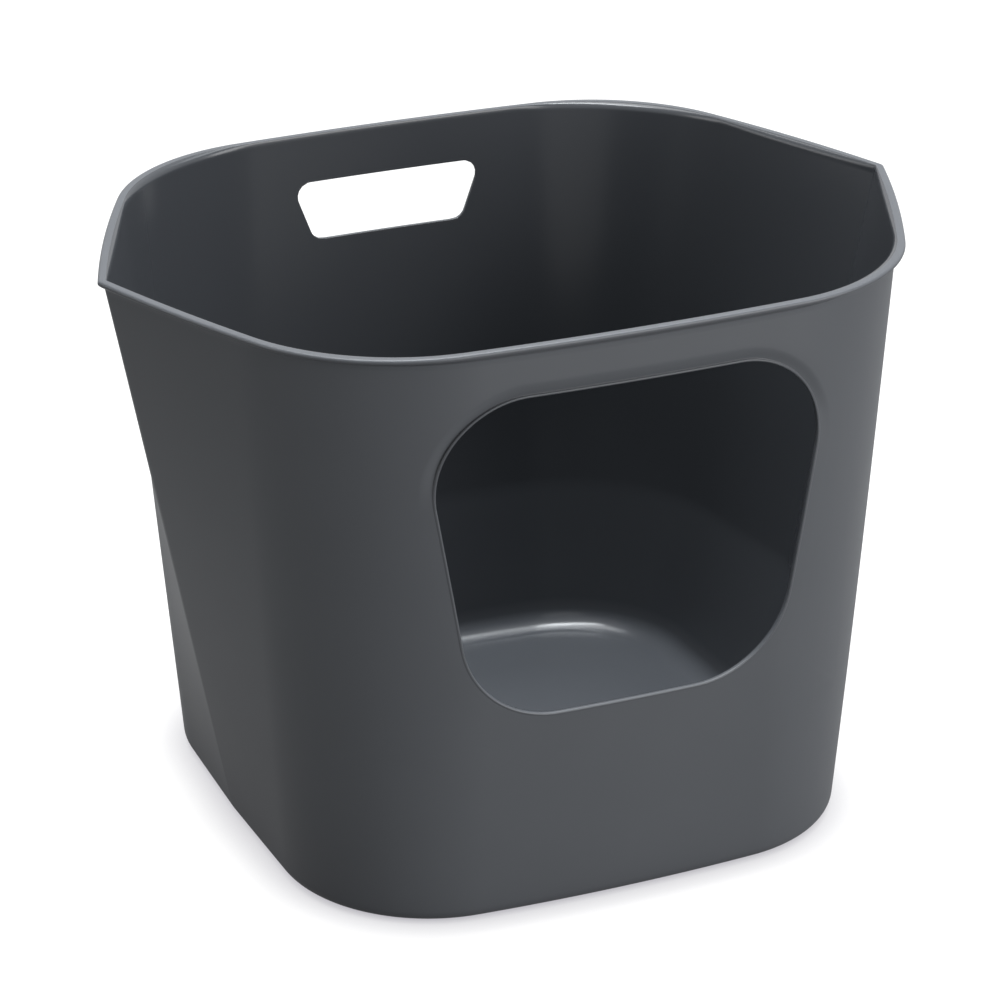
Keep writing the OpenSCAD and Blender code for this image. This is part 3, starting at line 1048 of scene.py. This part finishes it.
@dataclass(frozen=True)
class Studio:
    """Camera, floor, world and lamps."""

    camera_turn: float = -23.215
    camera_rise: float = 24.355
    camera_distance: float = 2562.272 * MM
    focal_px: float = 3967.641
    shift_right: float = -1.775 * MM
    shift_up: float = 168.794 * MM
    clip_start: float = 0.05
    clip_end: float = 100.0
    floor_half: float = 12.0
    floor_tone: float = 0.14
    floor_lift: float = 0.97
    floor_gloss: float = 0.3
    shadow_reach: float = 26 * MM
    shadow_tone: tuple[float, float, float] = (0.44, 0.43, 0.47)
    shadow_samples: int = 16
    world_fill: float = 0.2

    def camera(self) -> bpy.types.Object:
        """Camera at the photo's place: focal length in pixels over the image's side."""
        data = bpy.data.cameras.new("camera")
        data.sensor_width = SENSOR_MM
        data.lens = self.focal_px / IMAGE_SIDE * SENSOR_MM
        data.clip_start = self.clip_start
        data.clip_end = self.clip_end
        back = direction(self.camera_turn, self.camera_rise)
        a = math.radians(self.camera_turn)
        right = Vector((math.cos(a), math.sin(a), 0.0))
        up = back.cross(right)
        camera = bpy.data.objects.new("camera", data)
        place = back * self.camera_distance + right * self.shift_right + up * self.shift_up
        rotation = Matrix((right, up, back)).transposed()
        camera.matrix_world = Matrix.Translation(place) @ rotation.to_4x4()
        bpy.context.scene.collection.objects.link(camera)
        bpy.context.scene.camera = camera
        return camera

    def floor(self) -> bpy.types.Object:
        """Floor that keeps the object's shadow and shows white away from it.

        Its camera, glossy and transmission rays see the lit floor plus a glow. Close to the object
        the glow fades to the shadow's tone, with the part of the sky that is open within reach.

        Returns:
            The floor object.
        """
        half = self.floor_half
        corners = [(-half, -half, 0.0), (half, -half, 0.0), (half, half, 0.0), (-half, half, 0.0)]
        mesh = bpy.data.meshes.new("floor")
        mesh.from_pydata(corners, [], [(0, 1, 2, 3)])
        floor = bpy.data.objects.new("floor", mesh)
        bpy.context.scene.collection.objects.link(floor)
        made = bpy.data.materials.new("floor")
        made.use_nodes = True
        nodes = Nodes(made.node_tree)
        matt = nodes.add("ShaderNodeBsdfDiffuse", Color=(*(self.floor_tone,) * 3, 1.0))
        reach = {"samples": self.shadow_samples}
        sky = nodes.add("ShaderNodeAmbientOcclusion", reach, Distance=self.shadow_reach).outputs["AO"]
        shade = nodes.mix(sky, (*self.shadow_tone, 1.0), WHITE)
        strength = nodes.math("MULTIPLY", nodes.seen(self.floor_gloss), self.floor_lift)
        glow = nodes.add("ShaderNodeEmission", Color=shade, Strength=strength)
        both = nodes.add("ShaderNodeAddShader")
        nodes.join(both, 0, matt.outputs[0])
        nodes.join(both, 1, glow.outputs[0])
        nodes.add("ShaderNodeOutputMaterial", Surface=both.outputs[0])
        mesh.materials.append(made)
        return floor

    def world(self) -> None:
        """White world for camera, glossy and transmission rays, and a plain fill for the rest."""
        world = bpy.data.worlds.new("studio")
        world.use_nodes = True
        bpy.context.scene.world = world
        nodes = Nodes(world.node_tree)
        strength = nodes.math("MULTIPLY_ADD", nodes.seen(1.0), 1.0 - self.world_fill, self.world_fill)
        sky = nodes.add("ShaderNodeBackground", Color=WHITE, Strength=strength)
        nodes.add("ShaderNodeOutputWorld", Surface=sky.outputs[0])

    def lamps(self) -> list[Softbox]:
        """The soft lamps: overhead, high on the right, high behind, low in front, low on the left."""
        cool = (0.93, 0.97, 1.0)
        # name, turn, rise, distance, width, height, radiance, tint
        return [
            Softbox("overhead_softbox", 0.0, 89.0, 1.9, 1.2, 0.32, 41.0, cool),
            Softbox("right_softbox", 90.0, 68.0, 1.9, 0.8, 1.4, 5.0, cool),
            Softbox("back_softbox", 180.0, 70.0, 1.9, 1.4, 0.8, 7.0),
            Softbox("front_softbox", 30.0, 14.0, 3.0, 2.4, 1.8, 7.8),
            Softbox("left_softbox", -95.0, 15.0, 3.0, 1.4, 1.2, 3.6),
        ]

    def build(self) -> None:
        """Makes the camera, the floor, the world and the lamps."""
        self.camera()
        self.floor()
        self.world()
        for lamp in self.lamps():
            lamp.build()
        bpy.context.scene.view_settings.view_transform = "Standard"


# ---- everything ----


def dress(piece: bpy.types.Object, node: str, finish: bpy.types.Material) -> None:
    """Gives a piece its finish and says which CAD node it stands for.

    Args:
        piece: The piece.
        node: The CAD node that it replaces.
        finish: Its material.
    """
    piece.data.materials.append(finish)
    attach(piece, BODY)
    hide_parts(node)
    log.info("%s: %d faces, stands for %s", piece.name, len(piece.data.polygons), node)


def main() -> None:
    """Builds the studio, the tub and its feet."""
    logging.basicConfig(level=logging.INFO, format="%(name)s: %(message)s")
    Studio().build()
    low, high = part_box("tub")
    tub = Tub(low, high)
    entry_edge = EdgeProfile(
        nose_r=1.1 * MM,
        nose_r_upper=0.8 * MM,
        proud=0.35 * MM,
        proud_upper=-0.3 * MM,
        inner_r=1.0 * MM,
        inner_proud=1.2 * MM,
        groove=2.1 * MM,
        dip_w=8.0 * MM,
        dip_from=-0.25,
        dip_to=0.6,
    )
    grip_edge = EdgeProfile(
        nose_r=0.5 * MM,
        nose_r_upper=0.5 * MM,
        proud=0.0,
        proud_upper=0.0,
        inner_r=0.5 * MM,
        inner_proud=0.0,
        groove=0.0,
        dip_w=1.0 * MM,
        dip_from=-1.0,
        dip_to=1.0,
    )
    entry = Opening(
        end=End.FRONT,
        top_w=263.0 * MM,
        bottom_w=193.1 * MM,
        top_z=339.3 * MM,
        bottom_z=135.0 * MM,
        top_r=55 * MM,
        bottom_r=61.4 * MM,
        edge=entry_edge,
        half_cells=Tub.COLUMN_CELLS,
        low_row=0,
        high_row=Tub.PATCH_ROWS,
    )
    grip = Opening(
        end=End.BACK,
        top_w=132.6 * MM,
        bottom_w=103.4 * MM,
        top_z=339.6 * MM,
        bottom_z=300.3 * MM,
        top_r=9 * MM,
        bottom_r=9 * MM,
        edge=grip_edge,
        half_cells=26,
        low_row=43,
        high_row=58,
    )
    grain = moulded_grain_group()
    dress(tub.build([entry, grip]), "tub", PlasticFinish().material(grain))
    rubber = RubberFinish().material(grain)
    for side in ("front_left", "front_right", "back_left", "back_right"):
        foot_low, foot_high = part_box(f"foot_{side}")
        foot = Foot(f"rubber_foot_{side}", foot_low, foot_high)
        dress(foot.build(), f"foot_{side}", rubber)


if __name__ == "__main__":
    main()
